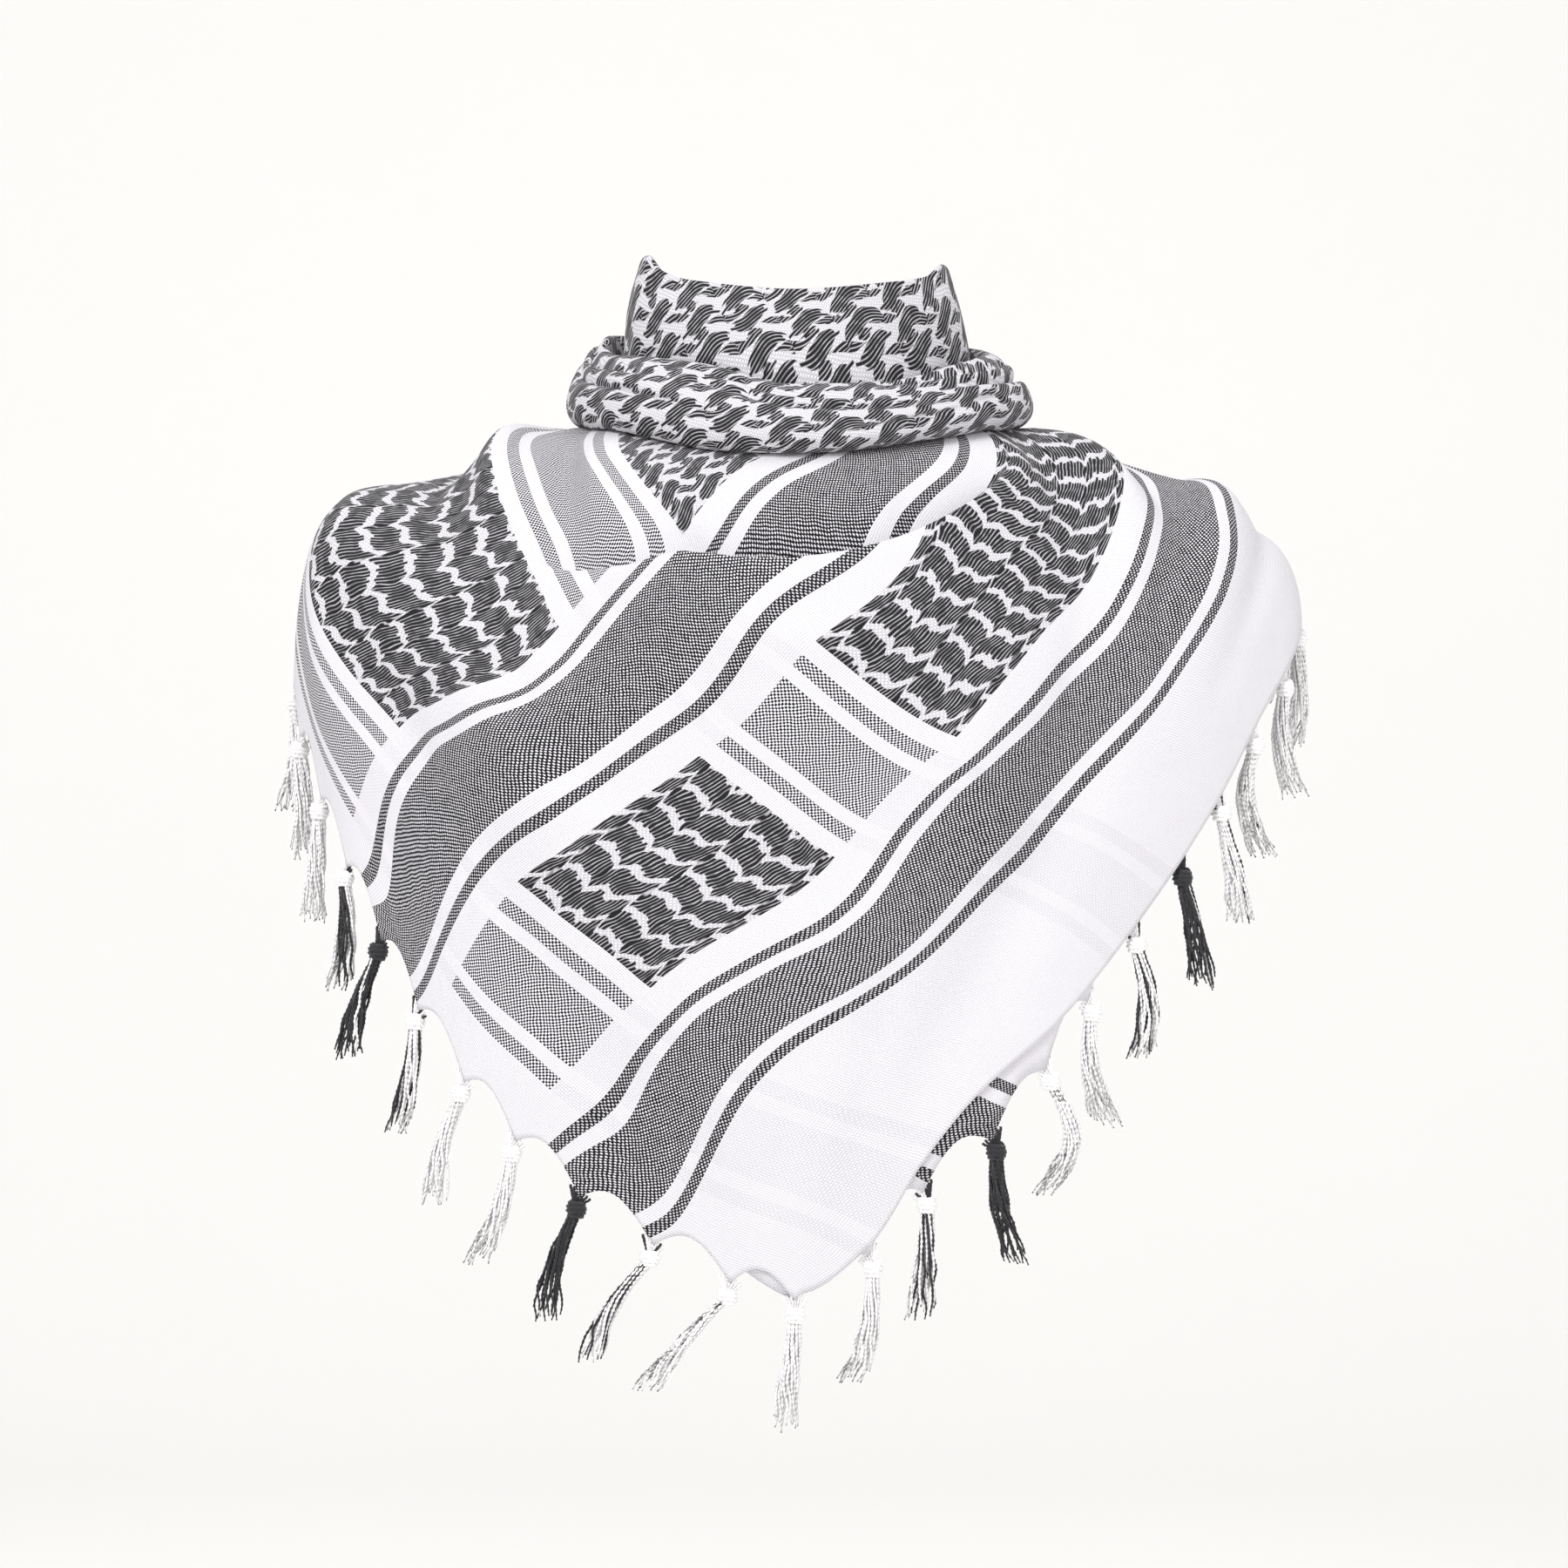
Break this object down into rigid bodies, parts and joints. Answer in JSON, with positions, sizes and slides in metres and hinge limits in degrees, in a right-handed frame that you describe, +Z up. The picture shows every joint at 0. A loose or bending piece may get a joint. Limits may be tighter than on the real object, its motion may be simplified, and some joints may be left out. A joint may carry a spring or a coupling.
{
  "type": "headscarf",
  "caption": "Square black and white cotton headscarf, folded corner to corner and worn as a neck wrap: standing collar, roll and a pointed bib with a knotted tassel fringe.",
  "frame": {"origin": "middle of the wearer's neck, at the height where the cloth lies on the shoulders", "axes": "+Z up; the wearer faces -Y, where the bib's corner hangs; +X is the wearer's left, which is on the right when the bib is looked at"},
  "size_m": [0.4835, 0.2547, 0.5356],
  "materials": {
    "bib_cloth": "matt plain-woven cotton, white ground with woven black bands and floats",
    "under_cloth": "the same cotton, seen from below and at its fringed edge",
    "wrap_cloth": "the same cotton, where black floats leave star-shaped white gaps",
    "white_yarn": "soft twisted cotton yarn",
    "mixed_yarn": "black and white cotton yarns twisted together",
    "black_yarn": "soft twisted cotton yarn"
  },
  "bodies": {
    "root": {"bib_top": "bib_cloth", "bib_under": "under_cloth", "neck_roll": "wrap_cloth", "neck_collar": "wrap_cloth", "tassel_corner": "white_yarn", "tassel_left_01": "white_yarn", "tassel_left_02": "mixed_yarn", "tassel_left_03": "black_yarn", "tassel_left_04": "white_yarn", "tassel_left_05": "white_yarn", "tassel_left_06": "mixed_yarn", "tassel_left_07": "black_yarn", "tassel_left_08": "mixed_yarn", "tassel_left_09": "white_yarn", "tassel_left_10": "white_yarn", "tassel_left_11": "white_yarn", "tassel_left_12": "white_yarn", "tassel_left_13": "white_yarn", "tassel_left_14": "white_yarn", "tassel_left_15": "white_yarn", "tassel_left_16": "white_yarn", "tassel_left_17": "white_yarn", "tassel_left_18": "white_yarn", "tassel_right_01": "white_yarn", "tassel_right_02": "mixed_yarn", "tassel_right_03": "black_yarn", "tassel_right_04": "white_yarn", "tassel_right_05": "white_yarn", "tassel_right_06": "mixed_yarn", "tassel_right_07": "black_yarn", "tassel_right_08": "mixed_yarn", "tassel_right_09": "white_yarn", "tassel_right_10": "white_yarn", "tassel_right_11": "white_yarn", "tassel_right_12": "white_yarn", "tassel_right_13": "white_yarn", "tassel_right_14": "white_yarn", "tassel_right_15": "white_yarn", "tassel_right_16": "white_yarn", "tassel_right_17": "white_yarn", "tassel_right_18": "white_yarn"}
  },
  "joints": []
}
